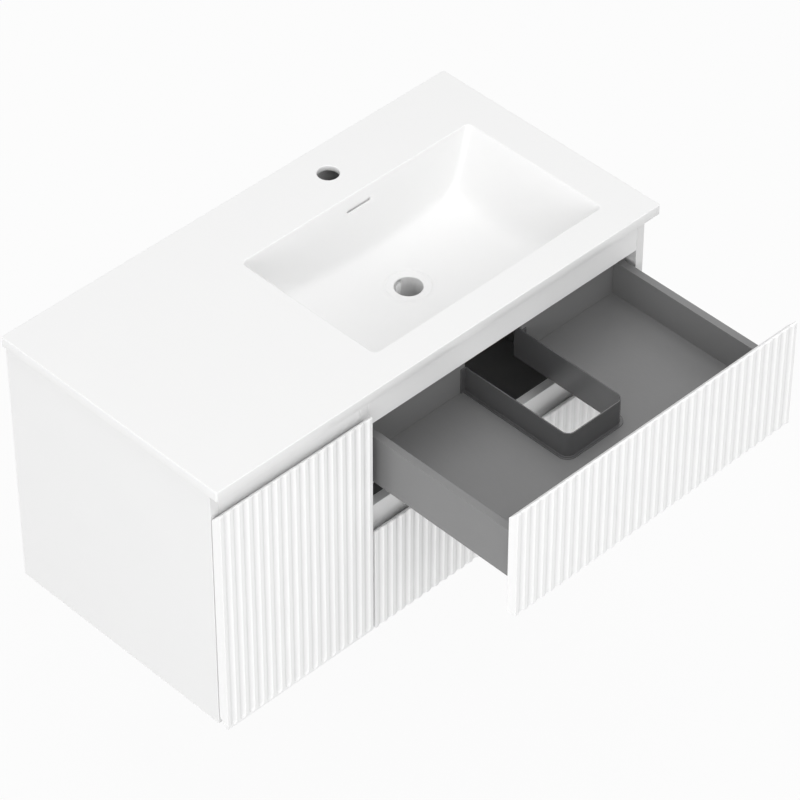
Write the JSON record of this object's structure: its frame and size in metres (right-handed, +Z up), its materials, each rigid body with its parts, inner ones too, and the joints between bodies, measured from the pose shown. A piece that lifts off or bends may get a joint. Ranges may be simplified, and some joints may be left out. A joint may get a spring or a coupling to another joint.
{
  "type": "wall-hung vanity unit with integrated basin",
  "caption": "Wall-hung bathroom vanity with a cast worktop and off-centre basin, a fluted hinged door and fluted drawers on extending runners.",
  "frame": {"origin": "centre of the four wall screws, on the wall plane", "axes": "+X along the wall to the user's right, +Y into the wall, +Z up"},
  "size_m": [0.9, 0.7435, 0.484],
  "materials": {
    "cast_top": "satin gel coat on cast mineral resin",
    "white_board": "white melamine",
    "fluted_lacquer": "matt white lacquer",
    "grey_board": "anthracite foil",
    "dark_plastic": "moulded, fine grain",
    "runner_steel": "zinc-plated, rolled",
    "hinge_steel": "nickel-plated",
    "zinc_steel": "zinc-plated",
    "beech": "raw beech",
    "buffer": "soft, translucent grey"
  },
  "bodies": {
    "cabinet": {"bottom_panel": "white_board", "carcass_dowels": "beech", "carcass_screws": "zinc_steel", "divider": "white_board", "left_back_panel": "white_board", "left_back_rail": "white_board", "left_front_rail": "white_board", "left_hanger": "zinc_steel", "left_side_panel": "white_board", "left_wall_plate": "zinc_steel", "lower_back_rail": "white_board", "lower_hinge_arm": "hinge_steel", "lower_runner_left_rail": "runner_steel", "lower_runner_right_rail": "runner_steel", "middle_front_rail": "white_board", "right_back_panel": "white_board", "right_back_rail": "white_board", "right_front_rail": "white_board", "right_hanger": "zinc_steel", "right_side_panel": "white_board", "right_wall_plate": "zinc_steel", "shelf": "white_board", "shelf_pins": "zinc_steel", "upper_hinge_arm": "hinge_steel", "upper_runner_left_rail": "runner_steel", "upper_runner_right_rail": "runner_steel", "worktop": "cast_top"},
    "door": {"door": "fluted_lacquer", "door_bumpers": "buffer", "hinge_cup_screws": "hinge_steel", "hinge_pins": "hinge_steel", "lower_hinge_cup": "hinge_steel", "upper_hinge_cup": "hinge_steel"},
    "upper_drawer": {"upper_drawer_back_left": "grey_board", "upper_drawer_back_right": "grey_board", "upper_drawer_bumpers": "buffer", "upper_drawer_floor": "grey_board", "upper_drawer_front": "fluted_lacquer", "upper_drawer_front_dowels": "beech", "upper_drawer_left_channel": "runner_steel", "upper_drawer_left_side": "grey_board", "upper_drawer_right_channel": "runner_steel", "upper_drawer_right_side": "grey_board", "upper_drawer_trap_surround": "dark_plastic"},
    "upper_runner": {"upper_runner_left_middle": "runner_steel", "upper_runner_right_middle": "runner_steel"},
    "lower_drawer": {"lower_drawer_back": "grey_board", "lower_drawer_bumpers": "buffer", "lower_drawer_floor": "grey_board", "lower_drawer_front": "fluted_lacquer", "lower_drawer_front_dowels": "beech", "lower_drawer_left_channel": "runner_steel", "lower_drawer_left_side": "grey_board", "lower_drawer_right_channel": "runner_steel", "lower_drawer_right_side": "grey_board"},
    "lower_runner": {"lower_runner_left_middle": "runner_steel", "lower_runner_right_middle": "runner_steel"}
  },
  "joints": [
    {"name": "door_swing", "type": "hinge", "parent": "cabinet", "child": "door", "pos_m": [-0.4375, -0.448, 0], "axis": [0, 0, -1], "range_deg": [0, 95]},
    {"name": "upper_drawer_slide", "type": "slide", "parent": "cabinet", "child": "upper_drawer", "axis": [0, -1, 0], "range_m": [-0.2865, 0.0285]},
    {"name": "upper_runner_slide", "type": "slide", "parent": "cabinet", "child": "upper_runner", "axis": [0, -1, 0], "range_m": [-0.14325, 0.01425]},
    {"name": "lower_drawer_slide", "type": "slide", "parent": "cabinet", "child": "lower_drawer", "axis": [0, -1, 0], "range_m": [0, 0.315]},
    {"name": "lower_runner_slide", "type": "slide", "parent": "cabinet", "child": "lower_runner", "axis": [0, -1, 0], "range_m": [0, 0.1575]}
  ],
  "couplings": [
    {"joint": "upper_runner_slide", "follows": "upper_drawer_slide", "ratio": 0.5},
    {"joint": "lower_runner_slide", "follows": "lower_drawer_slide", "ratio": 0.5}
  ]
}
